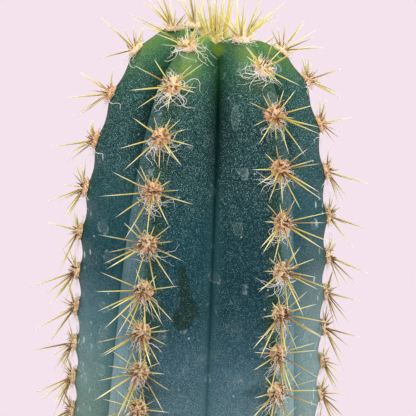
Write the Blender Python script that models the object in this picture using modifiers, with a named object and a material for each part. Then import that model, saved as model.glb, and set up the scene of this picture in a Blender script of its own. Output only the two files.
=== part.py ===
# A young potted blue torch cactus: one six-ribbed column with spiny areoles on its crests
# and a tuft of young spines on its tip, planted in gritty soil in a plain clay pot.
# Metres, +Z up. The origin is on the ground under the middle of the pot, and -Y is the front.

import math
import random

import bmesh
import bpy
import numpy as np
from mathutils import Matrix, Vector

MM = 0.001
SEED = 11
FIT_GAP = 0.35 * MM  # left between pieces that touch

# Clay pot
POT_HEIGHT = 98 * MM
RIM_RADIUS = 56 * MM
RIM_BAND = 22 * MM
RIM_STEP = 3 * MM
LIP_ROUNDING = 2.2 * MM
BAND_ROUNDING = 1.2 * MM
FOOT_RADIUS = 38 * MM
FOOT_CHAMFER = 1.8 * MM
WALL = 5 * MM
FLOOR = 7 * MM
FLOOR_CORNER = 3 * MM
DRAIN_RADIUS = 7 * MM
POT_SIDES = 48

# Soil
SOIL_BELOW_RIM = 12 * MM
SOIL_MOUND = 2 * MM
SOIL_GRIT = 0.7 * MM
SOIL_SIDES = 40
SOIL_RINGS = 4
HOLE_CLEARANCE = 0.6 * MM
HOLE_RINGS = 6

# Stem: its crests follow a flat-topped dome that runs down into a slightly flaring column
STEM_HEIGHT = 150 * MM
STEM_BURIED = 34 * MM
CREST_RADIUS = 29.5 * MM
DOME_DEPTH = 63 * MM
DOME_CURVE = 1.88
DOME_FLATNESS = 0.305
FLARE = 0.028  # growth in radius for each metre below the dome
TIP_RADIUS = 5 * MM
TIP_DIP = 1.6 * MM
LEAN = 2.9 * MM
LEAN_POWER = 1.5

# Ribs
RIB_COUNT = 6
FIRST_RIB_TURN = -25  # degrees from the front, to the right
RIB_DEPTH = 10.2 * MM
RIB_FADE = 84 * MM  # the furrows grow shallow over this length
RIB_FADE_POWER = 1.5
CREST_ROUNDING = 0.14  # share of half a rib
GROOVE_DEPTH = 0.9 * MM
GROOVE_WIDTH = 0.09  # share of half a rib
FURROW_SAG = 4.5 * MM  # the furrows sink between the lobes at the tip
SAG_FADE = 8 * MM
CREST_NOTCH = 0.8 * MM  # a crest is drawn in above each areole
NOTCH_PLACE = 0.6  # share of the way down to the next areole
NOTCH_POWER = math.log(0.5) / math.log(NOTCH_PLACE)
SIDE_SHARES = (-1, -0.66, -0.3, 0, 0.3, 0.66)  # of half a rib, from one furrow to the next

# Areoles, counted from the tip down each crest
FIRST_AREOLES = [reach * MM for reach in (13.9, 9.9, 6.2, 12.3, 8, 9.6)]
AREOLES_ON_RIB = 16
AREOLE_STEP = 8.9 * MM
LONG_SEASON = 2.5 * MM  # the steps are longer where the plant grew fastest
LONG_SEASON_AT = 36 * MM
LONG_SEASON_SPREAD = 25.6 * MM
AREOLE_RADIUS = 2.3 * MM
AREOLE_TOP_RADIUS = 1.3 * MM
AREOLE_THICKNESS = 0.9 * MM
AREOLE_ROOT = 1.2 * MM

# Spines: each areole has a ring of radial spines, longest on its lower side, and one central spine
RADIAL_SPINES = 5
RADIAL_LENGTH_UP = 7 * MM
RADIAL_LENGTH_DOWN = 12.5 * MM
RADIAL_RISE = 21  # degrees off the skin
CENTRAL_LENGTH = 12 * MM
CENTRAL_RISE = 64
CENTRAL_TURN = 190  # degrees from the areole's upper side
CENTRAL_JITTER = 24
SPINE_RADIUS = 0.42 * MM
SPINE_ROOT = 1.2 * MM
SPINE_JITTER = 8  # degrees
LENGTH_JITTER = 0.1
EXTRA_RISES = (0, 15, 30, 45)  # a spine that would meet the soil or the tuft rises further, until it is clear
STEEPEST_RISE = 88
SOIL_CLEARANCE = 1.5 * MM

# Tip tuft: a pad of wool that holds upright young spines
TUFT_RADIUS = 3.6 * MM
TUFT_WOOL = 2.4 * MM
TUFT_EDGE = 0.6 * MM
TUFT_SIDES = 14
TUFT_RINGS = 8
TUFT_SPINES = 40
TUFT_SPREAD = 24  # degrees from upright at the pad's edge
TUFT_ROOT_RADIUS = 2.6 * MM
TUFT_ROOT_HEIGHT = 1.5 * MM
TUFT_SPINE_LENGTHS = (9 * MM, 16 * MM)
TUFT_EDGE_LENGTH = 0.75  # share of its length that a spine at the pad's edge has
TUFT_CLEARANCE = 1.6 * MM

SOIL_TOP = POT_HEIGHT - SOIL_BELOW_RIM
TIP_Z = SOIL_TOP + STEM_HEIGHT
GOLDEN_TURN = math.pi * (3 - math.sqrt(5))
OUTLINE_STEPS = 400
MERGE_DISTANCE = 0.02 * MM
SMOOTH_BELOW = 40  # degrees between faces

POT_CLAY = ("pot_clay", (0.62, 0.31, 0.19), 0.85)
SOIL_MIX = ("soil_mix", (0.09, 0.065, 0.05), 0.95)
STEM_SKIN = ("stem_skin", (0.10, 0.22, 0.23), 0.6)
TUFT_GOLD = ("tuft_gold", (0.80, 0.66, 0.28), 0.6)


def clear_scene():
    for thing in list(bpy.data.objects):
        bpy.data.objects.remove(thing, do_unlink=True)


def new_collection(name):
    group = bpy.data.collections.new(name)
    bpy.context.scene.collection.children.link(group)
    return group


def finish_piece(piece, group, finish):
    name, colour, roughness = finish
    material = bpy.data.materials.new(name)
    material.use_nodes = True
    shader = material.node_tree.nodes["Principled BSDF"]
    shader.inputs["Base Color"].default_value = (*colour, 1)
    shader.inputs["Roughness"].default_value = roughness
    shader.inputs["Metallic"].default_value = 0
    piece.data.materials.clear()
    piece.data.materials.append(material)
    piece.data.shade_smooth()
    piece.data.set_sharp_from_angle(angle=math.radians(SMOOTH_BELOW))
    group.objects.link(piece)


def object_from(builder, name):
    mesh = bpy.data.meshes.new(name)
    builder.to_mesh(mesh)
    builder.free()
    return bpy.data.objects.new(name, mesh)


def shape_of(thing):
    """The mesh that an object's modifiers give."""
    graph = bpy.context.evaluated_depsgraph_get()
    return bpy.data.meshes.new_from_object(thing.evaluated_get(graph))


def round_corner(centre, radius, start, end, count):
    """Points of a turned profile's round corner, as (radius, height)."""
    turns = [math.radians(start + (end - start) * i / (count - 1)) for i in range(count)]
    return [(centre[0] + radius * math.cos(a), centre[1] + radius * math.sin(a)) for a in turns]


def turned(profile, closed, sides, name):
    """An object turned from a profile of (radius, height) points that starts down its outer side."""
    edges = [(i, i + 1) for i in range(len(profile) - 1)]
    if closed:
        edges.append((len(profile) - 1, 0))
    mesh = bpy.data.meshes.new(name)
    mesh.from_pydata([(radius, 0, height) for radius, height in profile], edges, [])
    outline = bpy.data.objects.new(name, mesh)
    bpy.context.scene.collection.objects.link(outline)
    screw = outline.modifiers.new("Screw", "SCREW")
    screw.steps = screw.render_steps = sides
    screw.use_merge_vertices = True
    screw.merge_threshold = MERGE_DISTANCE
    solid = shape_of(outline)
    bpy.data.objects.remove(outline, do_unlink=True)
    return bpy.data.objects.new(name, solid)


# The pot


def pot_inner_radius(height):
    bottom = FOOT_RADIUS - WALL
    top = RIM_RADIUS - RIM_STEP - WALL
    return bottom + (top - bottom) * (height - FLOOR) / (POT_HEIGHT - FLOOR)


def make_pot(group):
    lip_z = POT_HEIGHT - LIP_ROUNDING
    band_z = POT_HEIGHT - RIM_BAND
    band_corner = (RIM_RADIUS - 2 * BAND_ROUNDING, band_z + BAND_ROUNDING)
    lip_inside = pot_inner_radius(POT_HEIGHT)
    profile = round_corner((RIM_RADIUS - LIP_ROUNDING, lip_z), LIP_ROUNDING, 90, 0, 4)
    profile += round_corner(band_corner, BAND_ROUNDING, 0, -90, 3)
    profile += [
        (RIM_RADIUS - RIM_STEP - BAND_ROUNDING, band_z),
        (FOOT_RADIUS, FOOT_CHAMFER),
        (FOOT_RADIUS - FOOT_CHAMFER, 0),
        (DRAIN_RADIUS, 0),
        (DRAIN_RADIUS, FLOOR),
        (pot_inner_radius(FLOOR) - FLOOR_CORNER, FLOOR),
        (pot_inner_radius(FLOOR + FLOOR_CORNER), FLOOR + FLOOR_CORNER),
    ]
    profile += round_corner((lip_inside + LIP_ROUNDING, lip_z), LIP_ROUNDING, 180, 90, 4)
    finish_piece(turned(profile, True, POT_SIDES, "pot"), group, POT_CLAY)


# The stem's outline


def crest_outline():
    """Length along a crest, depth below the tip and radius, from the tip's centre to the stem's foot."""
    lip_share = 1 - (1 - (TIP_RADIUS / CREST_RADIUS) ** (1 / DOME_FLATNESS)) ** (1 / DOME_CURVE)
    lip_depth = DOME_DEPTH * lip_share
    dip_radius = np.linspace(0, TIP_RADIUS, OUTLINE_STEPS, endpoint=False)
    dip_depth = lip_depth + TIP_DIP * (1 - (dip_radius / TIP_RADIUS) ** 2) ** 1.5

    column_depth = lip_depth + (STEM_HEIGHT - lip_depth) * np.linspace(0, 1, OUTLINE_STEPS) ** 2
    above_shoulder = np.clip(1 - column_depth / DOME_DEPTH, 0, 1)
    column_radius = CREST_RADIUS * (1 - above_shoulder**DOME_CURVE) ** DOME_FLATNESS
    column_radius += FLARE * np.maximum(column_depth - DOME_DEPTH, 0)

    sunk = np.linspace(0, 1, OUTLINE_STEPS)[1:]
    foot_depth = STEM_HEIGHT + STEM_BURIED * sunk
    foot_radius = column_radius[-1] * np.sqrt(1 - sunk**3)

    depths = np.concatenate([dip_depth, column_depth, foot_depth])
    radii = np.concatenate([dip_radius, column_radius, foot_radius])
    lengths = np.concatenate([[0], np.cumsum(np.hypot(np.diff(radii), np.diff(depths)))])
    return lengths, depths, radii


LENGTHS, DEPTHS, RADII = crest_outline()
FOOT_LENGTH = float(LENGTHS[-1])
SOIL_LENGTH = float(LENGTHS[DEPTHS <= STEM_HEIGHT][-1])


def crest_at(length):
    return float(np.interp(length, LENGTHS, DEPTHS)), float(np.interp(length, LENGTHS, RADII))


def areole_lengths(first):
    """Where a rib's areoles sit along its crest."""
    places = [first]
    while len(places) < AREOLES_ON_RIB:
        season = math.exp(-(((places[-1] - LONG_SEASON_AT) / LONG_SEASON_SPREAD) ** 2))
        places.append(places[-1] + AREOLE_STEP + LONG_SEASON * season)
    return places


RIB_AREOLES = [areole_lengths(first) for first in FIRST_AREOLES]


def rib_turn(rib):
    return math.radians(FIRST_RIB_TURN + rib * 360 / RIB_COUNT)


def crest_notch(rib, length):
    places = RIB_AREOLES[rib]
    for above, below in zip(places, places[1:]):
        if above <= length < below:
            share = (length - above) / (below - above)
            return CREST_NOTCH * math.sin(math.pi * share**NOTCH_POWER)
    return 0


def stem_point(rib, length, share):
    """A point of the skin. share runs from -1 in the furrow before a rib's crest to 1 in the one after it."""
    depth, crest = crest_at(length)
    off_crest = abs(share)
    rounded = math.hypot(off_crest, CREST_ROUNDING) - CREST_ROUNDING
    fall = rounded / (math.hypot(1, CREST_ROUNDING) - CREST_ROUNDING)
    near_tip = min(1, crest / (2 * TIP_RADIUS))
    fade = near_tip * crest / CREST_RADIUS * math.exp(-((depth / RIB_FADE) ** RIB_FADE_POWER))
    groove = GROOVE_DEPTH * fade * math.exp(-(1 - off_crest) / GROOVE_WIDTH)
    notch = crest_notch(rib, length) * (1 - off_crest) ** 2
    radius = max(crest - RIB_DEPTH * fade * fall - groove - notch, 0)
    turn = rib_turn(rib) + share * math.pi / RIB_COUNT
    lean = LEAN * max(0, 1 - depth / STEM_HEIGHT) ** LEAN_POWER
    height = TIP_Z - depth - FURROW_SAG * near_tip * fall * math.exp(-depth / SAG_FADE)
    return Vector((lean + radius * math.sin(turn), -radius * math.cos(turn), height))


def ring_lengths(rib):
    """Rings of the stem's mesh on one crest: one on each areole and in each notch, and some at the ends."""
    places = RIB_AREOLES[rib]
    rings = [TIP_RADIUS * 0.5, TIP_RADIUS, (TIP_RADIUS + places[0]) / 2]
    for above, below in zip(places, places[1:]):
        rings += [above, above + (below - above) * NOTCH_PLACE]
    rings += [places[-1], (places[-1] + SOIL_LENGTH) / 2]
    buried = np.linspace(SOIL_LENGTH, FOOT_LENGTH, HOLE_RINGS + 1)[:-1]
    return rings + [float(length) for length in buried]


def make_stem_skin():
    """A ball whose rings and sides are drawn out to the ribbed column."""
    ribs = [ring_lengths(rib) for rib in range(RIB_COUNT)]
    rings = len(ribs[0]) + 1
    sides = RIB_COUNT * len(SIDE_SHARES)
    ball = bmesh.new()
    bmesh.ops.create_uvsphere(ball, u_segments=sides, v_segments=rings, radius=1)
    for vertex in ball.verts:
        ring = round(math.acos(max(-1, min(1, vertex.co.z))) / math.pi * rings)
        side = round(math.atan2(vertex.co.x, -vertex.co.y) / (2 * math.pi) * sides) % sides
        rib, place = divmod(side, len(SIDE_SHARES))
        share = SIDE_SHARES[place]
        if ring in (0, rings):
            vertex.co = stem_point(0, 0 if ring == 0 else FOOT_LENGTH, 0)
        else:
            # In a furrow the rings of the two ribs beside it meet halfway.
            neighbour = ribs[(rib + (1 if share > 0 else -1)) % RIB_COUNT]
            own = ribs[rib][ring - 1]
            length = own + (neighbour[ring - 1] - own) * abs(share) / 2
            vertex.co = stem_point(rib, length, share)
    bmesh.ops.recalc_face_normals(ball, faces=ball.faces)
    return object_from(ball, "stem")


# Areoles and spines


def crest_frame(rib, length):
    """A place on a crest and its axes: across the rib, towards the tip, and out of the skin."""
    above = stem_point(rib, length - AREOLE_RADIUS, 0)
    below = stem_point(rib, length + AREOLE_RADIUS, 0)
    up = (above - below).normalized()
    turn = rib_turn(rib)
    across = Vector((math.cos(turn), math.sin(turn), 0))
    axes = Matrix((across, up, across.cross(up).normalized())).transposed()
    return stem_point(rib, length, 0), axes.to_4x4()


def add_needle(root, direction, length, name, group):
    """A three-sided spine that grows from its root."""
    cone = bmesh.new()
    bmesh.ops.create_cone(cone, cap_ends=True, segments=3, radius1=SPINE_RADIUS, radius2=0, depth=length)
    bmesh.ops.remove_doubles(cone, verts=cone.verts, dist=MERGE_DISTANCE)
    bmesh.ops.translate(cone, verts=cone.verts, vec=(0, 0, length / 2))
    pointed = direction.to_track_quat("Z", "Y").to_matrix().to_4x4()
    cone.transform(Matrix.Translation(root) @ pointed)
    group.objects.link(object_from(cone, name))


def add_pad(place, frame, group):
    """A felt pad with a low flat dome: each of its sides faces one radial spine."""
    height = AREOLE_THICKNESS + AREOLE_ROOT
    spread = (AREOLE_RADIUS - AREOLE_TOP_RADIUS) / AREOLE_THICKNESS
    pad = bmesh.new()
    bmesh.ops.create_cone(
        pad,
        cap_ends=True,
        segments=RADIAL_SPINES,
        radius1=AREOLE_TOP_RADIUS + spread * height,
        radius2=AREOLE_TOP_RADIUS,
        depth=height,
    )
    bmesh.ops.translate(pad, verts=pad.verts, vec=(0, 0, AREOLE_THICKNESS - height / 2))
    pad.transform(Matrix.Translation(place) @ frame)
    group.objects.link(object_from(pad, "areole"))


def keeps_clear(root, end):
    """True if a spine stays above the soil and out of the space that the tip's tuft fills."""
    tip = stem_point(0, 0, 0)
    for share in (0.3, 0.6, 1):
        point = root.lerp(end, share)
        height = point.z - tip.z
        room = TUFT_RADIUS + TUFT_CLEARANCE + height * math.tan(math.radians(TUFT_SPREAD))
        if height > 0 and math.hypot(point.x - tip.x, point.y - tip.y) < room:
            return False
    return end.z > SOIL_TOP + SOIL_MOUND + SOIL_GRIT + SOIL_CLEARANCE


def add_spine(place, frame, turn, rise, length, start, group):
    """A spine that comes out of its pad at start, given as (distance from the middle, height)."""
    along = Vector((-math.sin(turn), math.cos(turn), 0))
    for extra in EXTRA_RISES:
        lift = math.radians(min(rise + extra, STEEPEST_RISE))
        direction = frame @ (along * math.cos(lift) + Vector((0, 0, math.sin(lift))))
        root = place + frame @ (along * start[0] + Vector((0, 0, start[1]))) - direction * SPINE_ROOT
        if keeps_clear(root, root + direction * length):
            add_needle(root, direction, length + SPINE_ROOT, "spine", group)
            return


def add_areole(rib, length, dice, group):
    place, frame = crest_frame(rib, length)
    add_pad(place, frame, group)
    to_side = (AREOLE_RADIUS + AREOLE_TOP_RADIUS) / 2 * math.cos(math.pi / RADIAL_SPINES)
    pad_side = (to_side, AREOLE_THICKNESS / 2)
    middle = (RADIAL_LENGTH_DOWN + RADIAL_LENGTH_UP) / 2
    swing = (RADIAL_LENGTH_DOWN - RADIAL_LENGTH_UP) / 2
    for i in range(RADIAL_SPINES):
        turn = (i + 0.5) * 2 * math.pi / RADIAL_SPINES
        reach = (middle - swing * math.cos(turn)) * dice.uniform(1 - LENGTH_JITTER, 1 + LENGTH_JITTER)
        turn += math.radians(dice.uniform(-SPINE_JITTER, SPINE_JITTER))
        rise = RADIAL_RISE + dice.uniform(-SPINE_JITTER / 2, SPINE_JITTER / 2)
        add_spine(place, frame, turn, rise, reach, pad_side, group)
    turn = math.radians(CENTRAL_TURN + dice.uniform(-CENTRAL_JITTER, CENTRAL_JITTER))
    reach = CENTRAL_LENGTH * dice.uniform(1 - LENGTH_JITTER, 1 + LENGTH_JITTER)
    add_spine(place, frame, turn, CENTRAL_RISE, reach, (0, AREOLE_THICKNESS), group)


def fused(body, repeats):
    """A body joined with a collection of repeats, which are then removed."""
    bpy.context.scene.collection.objects.link(body)
    union = body.modifiers.new("Join", "BOOLEAN")
    union.operation = "UNION"
    union.operand_type = "COLLECTION"
    union.collection = repeats
    union.solver = "MANIFOLD"
    joined = shape_of(body)
    name = body.name
    for thing in list(repeats.objects) + [body]:
        bpy.data.objects.remove(thing, do_unlink=True)
    bpy.data.collections.remove(repeats)
    return bpy.data.objects.new(name, joined)


def make_stem(group):
    dice = random.Random(SEED)
    repeats = new_collection("stem_repeats")
    for rib, places in enumerate(RIB_AREOLES):
        for length in places:
            add_areole(rib, length, dice, repeats)
    finish_piece(fused(make_stem_skin(), repeats), group, STEM_SKIN)


# The tuft on the tip


def make_tuft_wool(centre):
    """A ball pressed to a pad that follows the skin below it."""
    wool = bmesh.new()
    bmesh.ops.create_uvsphere(wool, u_segments=TUFT_SIDES, v_segments=TUFT_RINGS, radius=1)
    for vertex in wool.verts:
        out = math.hypot(vertex.co.x, vertex.co.y)
        skin_depth, _ = crest_at(out * TUFT_RADIUS)
        thickness = TUFT_WOOL * max(vertex.co.z, 0) + TUFT_EDGE * (1 + vertex.co.z) / 2
        vertex.co.x = centre.x + vertex.co.x * TUFT_RADIUS
        vertex.co.y = centre.y + vertex.co.y * TUFT_RADIUS
        vertex.co.z = TIP_Z - skin_depth + FIT_GAP + thickness
    bmesh.ops.recalc_face_normals(wool, faces=wool.faces)
    return object_from(wool, "tip_tuft")


def make_tuft(group):
    dice = random.Random(SEED + 1)
    centre = stem_point(0, 0, 0)
    repeats = new_collection("tuft_repeats")
    for i in range(TUFT_SPINES):
        share = math.sqrt((i + 0.5) / TUFT_SPINES)
        turn = i * GOLDEN_TURN + math.radians(dice.uniform(-SPINE_JITTER, SPINE_JITTER))
        out = Vector((math.sin(turn), -math.cos(turn), 0))
        tilt = math.radians(TUFT_SPREAD * share - dice.uniform(0, SPINE_JITTER / 2))
        direction = out * math.sin(tilt) + Vector((0, 0, math.cos(tilt)))
        root = centre + out * share * TUFT_ROOT_RADIUS + Vector((0, 0, TUFT_ROOT_HEIGHT))
        length = dice.uniform(*TUFT_SPINE_LENGTHS) * (1 - (1 - TUFT_EDGE_LENGTH) * share)
        add_needle(root, direction, length, "young_spine", repeats)
    finish_piece(fused(make_tuft_wool(centre), repeats), group, TUFT_GOLD)


# The soil


def soil_hole():
    """Profile of the hole that the stem's foot stands in, from its bottom up to the soil's surface."""
    hole = []
    for i in range(HOLE_RINGS):
        share = i / HOLE_RINGS
        depth, radius = crest_at(SOIL_LENGTH + (FOOT_LENGTH - SOIL_LENGTH) * share)
        hole.append((radius + HOLE_CLEARANCE, TIP_Z - depth - HOLE_CLEARANCE * share))
    hole.append((0, TIP_Z - STEM_HEIGHT - STEM_BURIED - HOLE_CLEARANCE))
    return hole[::-1]


def make_soil(group):
    dice = random.Random(SEED + 2)
    hole = soil_hole()
    mouth = hole[-1][0]
    edge = pot_inner_radius(SOIL_TOP) - FIT_GAP
    corner_z = FLOOR + FLOOR_CORNER
    profile = hole
    profile += [(mouth + (edge - mouth) * (i + 1) / SOIL_RINGS, SOIL_TOP) for i in range(SOIL_RINGS)]
    profile += [
        (pot_inner_radius(corner_z) - FIT_GAP, corner_z),
        (pot_inner_radius(FLOOR) - FLOOR_CORNER - FIT_GAP, FLOOR + FIT_GAP),
        (0, FLOOR + FIT_GAP),
    ]
    soil = turned(profile, False, SOIL_SIDES, "soil")
    for vertex in soil.data.vertices:
        out = math.hypot(vertex.co.x, vertex.co.y)
        if vertex.co.z > SOIL_TOP - FIT_GAP and out < edge - FIT_GAP:
            vertex.co.z += SOIL_MOUND * (edge - out) / (edge - mouth)
            vertex.co.z += dice.uniform(-SOIL_GRIT, SOIL_GRIT)
    finish_piece(soil, group, SOIL_MIX)


def main():
    clear_scene()
    group = new_collection("potted_blue_torch_cactus")
    make_pot(group)
    make_soil(group)
    make_stem(group)
    make_tuft(group)


main()
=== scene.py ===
# The looks of a potted blue torch cactus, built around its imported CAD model.
# Settings are in metres, or in millimetres where a note says so. Turns are in degrees from the front, which
# is -Y, and positive to the right. Depth goes straight down from the tip, and length along the skin.

import math
import random

import bpy
import numpy as np
from mathutils import Matrix, Vector, noise


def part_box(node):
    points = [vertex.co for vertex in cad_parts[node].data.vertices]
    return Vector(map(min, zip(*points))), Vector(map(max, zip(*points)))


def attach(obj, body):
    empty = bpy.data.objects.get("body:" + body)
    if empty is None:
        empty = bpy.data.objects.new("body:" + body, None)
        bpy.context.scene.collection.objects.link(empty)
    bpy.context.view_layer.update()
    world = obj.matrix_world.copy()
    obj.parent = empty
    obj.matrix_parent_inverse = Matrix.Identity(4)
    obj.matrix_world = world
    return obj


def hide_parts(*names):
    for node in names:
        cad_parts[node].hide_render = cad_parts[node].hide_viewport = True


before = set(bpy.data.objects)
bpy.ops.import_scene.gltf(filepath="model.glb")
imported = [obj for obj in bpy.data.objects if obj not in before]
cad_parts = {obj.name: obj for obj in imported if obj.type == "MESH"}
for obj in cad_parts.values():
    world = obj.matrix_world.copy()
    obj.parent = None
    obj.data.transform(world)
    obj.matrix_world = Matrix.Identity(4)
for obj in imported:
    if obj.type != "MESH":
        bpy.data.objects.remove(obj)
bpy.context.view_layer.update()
mm = 0.001
upright = np.array([0, 0, 1.0])
print("frame loaded")


# Small helpers for meshes

def deselectAll():
    for thing in list(bpy.context.selected_objects):
        thing.select_set(False)


def selectOnly(thing):
    deselectAll()
    thing.select_set(True)
    bpy.context.view_layer.objects.active = thing


def editAll():
    bpy.ops.object.mode_set(mode="EDIT")
    bpy.ops.mesh.select_all(action="SELECT")


def faceOutwards():
    bpy.ops.mesh.select_all(action="SELECT")
    bpy.ops.mesh.normals_make_consistent(inside=False)
    bpy.ops.object.mode_set(mode="OBJECT")


def smoothStep(value, low, high):
    share = np.clip((value - low) / (high - low), 0, 1)
    return share * share * (3 - 2 * share)


def unit(vectors):
    return vectors / np.maximum(np.linalg.norm(vectors, axis=-1, keepdims=True), 1e-12)


def outwards(turn):
    return np.array([math.sin(turn), -math.cos(turn), 0])


def vertexArray(thing):
    points = np.zeros(len(thing.data.vertices) * 3)
    thing.data.vertices.foreach_get("co", points)
    return points.reshape(-1, 3)


def setVertices(thing, points):
    thing.data.vertices.foreach_set("co", np.ascontiguousarray(points, float).ravel())
    thing.data.update()


def addAttribute(thing, name, values):
    attribute = thing.data.attributes.new(name, "FLOAT", "POINT")
    attribute.data.foreach_set("value", np.ascontiguousarray(values, float).ravel())


def shapeOf(thing):
    # points and faces of a shape that is copied many times, which is then taken away itself
    points = vertexArray(thing)
    faces = [tuple(face.vertices) for face in thing.data.polygons]
    bpy.data.objects.remove(thing, do_unlink=True)
    return points, faces


def joinCopies(name, copies, faces):
    # one mesh from the points of each copy, all with the same faces
    count = len(copies[0])
    starts = range(0, count * len(copies), count)
    allFaces = [[start + corner for corner in face] for start in starts for face in faces]
    mesh = bpy.data.meshes.new(name)
    mesh.from_pydata(np.concatenate(copies).tolist(), [], allFaces)
    mesh.update()
    thing = bpy.data.objects.new(name, mesh)
    bpy.context.scene.collection.objects.link(thing)
    return thing


def finishPiece(thing, material, slotName, *nodes):
    thing.data.materials.clear()
    thing.data.materials.append(material)
    thing.data.shade_smooth()
    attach(thing, "root")
    if nodes:
        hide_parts(*nodes)
    print("made", thing.name, len(thing.data.polygons), "faces")


# Small helpers for materials. A colour is three numbers, 0 to 255, or another node's output, and a
# pattern's size and a bump's distance are in millimetres.

def srgb(red, green, blue):
    # screen colour, 0 to 255, to a shader's linear colour
    shares = [value / 255 for value in (red, green, blue)]
    linear = [share / 12.92 if share <= 0.04045 else ((share + 0.055) / 1.055) ** 2.4 for share in shares]
    return (*linear, 1)


def newMaterial(name):
    material = bpy.data.materials.new(name)
    material.use_nodes = True
    tree = material.node_tree
    return material, tree, tree.nodes["Principled BSDF"]


def feed(socket, value):
    # a link from another node's output, or a constant
    if isinstance(value, bpy.types.NodeSocket):
        socket.id_data.links.new(value, socket)
    else:
        socket.default_value = value


def addNode(tree, kind, inputs, **settings):
    node = tree.nodes.new(kind)
    for name, value in settings.items():
        setattr(node, name, value)
    for place, value in inputs.items():
        feed(node.inputs[place], value)
    return node


def maths(operation, first, second):
    return addNode(first.id_data, "ShaderNodeMath", {0: first, 1: second}, operation=operation).outputs[0]


def times(product, *values):
    for value in values:
        product = maths("MULTIPLY", product, value)
    return product


def larger(first, second):
    return maths("MAXIMUM", first, second)


def ranged(value, low, high, toLow=0, toHigh=1):
    # smooth change from toLow to toHigh as value goes from low to high
    inputs = dict(enumerate((value, low, high, toLow, toHigh)))
    return addNode(value.id_data, "ShaderNodeMapRange", inputs, interpolation_type="SMOOTHSTEP").outputs[0]


def mixColours(share, first, second):
    inputs = {0: share}
    for place, colour in ((6, first), (7, second)):
        inputs[place] = srgb(*colour) if isinstance(colour, tuple) else colour
    node = addNode(share.id_data, "ShaderNodeMix", inputs, data_type="RGBA", clamp_factor=True)
    return node.outputs[2]


def colourRamp(value, stops):
    node = addNode(value.id_data, "ShaderNodeValToRGB", {0: value})
    elements = node.color_ramp.elements
    while len(elements) < len(stops):
        elements.new(0.5)
    for element, (place, colour) in zip(elements, stops):
        element.position = place
        element.color = srgb(*colour)
    return node.outputs[0]


def objectPlace(tree, stretch=(1, 1, 1)):
    coordinates = addNode(tree, "ShaderNodeTexCoord", {})
    inputs = {"Vector": coordinates.outputs["Object"], "Scale": stretch}
    return addNode(tree, "ShaderNodeMapping", inputs).outputs[0]


def heightOf(place):
    return addNode(place.id_data, "ShaderNodeSeparateXYZ", {0: place}).outputs[2]


def distanceOf(place):
    return addNode(place.id_data, "ShaderNodeVectorMath", {0: place}, operation="LENGTH").outputs["Value"]


def noiseValue(place, size, detail=3, roughness=0.5):
    inputs = {"Vector": place, "Scale": 1 / (size * mm), "Detail": detail, "Roughness": roughness}
    return addNode(place.id_data, "ShaderNodeTexNoise", inputs).outputs["Fac"]


def cells(place, size, randomness=1):
    # distance to the nearest cell's middle, in cells, and that cell's own random number
    inputs = {"Vector": place, "Scale": 1 / (size * mm), "Randomness": randomness}
    node = addNode(place.id_data, "ShaderNodeTexVoronoi", inputs)
    pick = addNode(place.id_data, "ShaderNodeSeparateColor", {0: node.outputs["Color"]})
    return node.outputs["Distance"], pick.outputs[0]


def readAttribute(tree, name):
    return addNode(tree, "ShaderNodeAttribute", {}, attribute_name=name).outputs["Fac"]


def paint(shader, colour, roughness, sheen=0):
    for name, value in (("Base Color", colour), ("Roughness", roughness), ("Sheen Weight", sheen)):
        feed(shader.inputs[name], value)


def bumpFrom(shader, height, strength, distance):
    inputs = {"Height": height, "Strength": strength, "Distance": distance * mm}
    feed(shader.inputs["Normal"], addNode(shader.id_data, "ShaderNodeBump", inputs).outputs[0])


# Camera, light and backdrop

view = {
    "distance": 0.240,  # from the stem's axis
    "sideways": 0.0022,
    "height": 0.2723,
    "pitch": 18,
    "roll": 1.5,
    "lens": 94.8,
}

studio = {
    "backdrop": srgb(244, 227, 237),
    "domeRadius": 4.0,
    "floorRadius": 3.9,
    "shadowRadius": 0.10,  # the floor takes shadows this far out, and is plain backdrop colour beyond
    "plainRadius": 0.22,
    "floorPaint": srgb(205, 190, 198),
    "ambient": (1.0, 0.98, 0.985, 1),
    "ambientStrength": 0.34,
    "aim": (0, 0, 0.2),
}

softboxes = [
    # name, place, width, height, watts
    ("softbox_left", (-0.35, 0.085, 0.07), 0.35, 0.12, 0.82),
    ("softbox_right", (0.36, 0.03, 0.07), 0.35, 0.12, 1.02),
    ("softbox_top", (-0.05, -0.15, 1.05), 0.6, 0.6, 9),
    ("softbox_front", (0.45, -1.3, 1.0), 0.8, 0.8, 8),
]


def makeCamera():
    bpy.ops.object.camera_add(location=(view["sideways"], -view["distance"], view["height"]))
    camera = bpy.context.object
    tilt = Matrix.Rotation(math.radians(90 - view["pitch"]), 3, "X")
    camera.rotation_euler = (tilt @ Matrix.Rotation(math.radians(view["roll"]), 3, "Z")).to_euler()
    camera.data.lens = view["lens"]
    camera.data.clip_start = 0.01
    bpy.context.scene.camera = camera


def makeLights():
    for name, place, width, height, watts in softboxes:
        bpy.ops.object.light_add(type="AREA", location=place)
        light = bpy.context.object
        light.name = name
        light.data.shape = "RECTANGLE"
        light.data.size = width
        light.data.size_y = height
        light.data.energy = watts
        aim = Vector(studio["aim"]) - Vector(place)
        light.rotation_euler = aim.to_track_quat("-Z", "Y").to_euler()
    world = bpy.data.worlds.new("studio_light")
    world.use_nodes = True
    background = world.node_tree.nodes["Background"]
    background.inputs["Color"].default_value = studio["ambient"]
    background.inputs["Strength"].default_value = studio["ambientStrength"]
    bpy.context.scene.world = world
    bpy.context.scene.view_settings.view_transform = "Standard"


def plainLight(tree):
    return addNode(tree, "ShaderNodeEmission", {"Color": studio["backdrop"]}).outputs[0]


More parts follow.
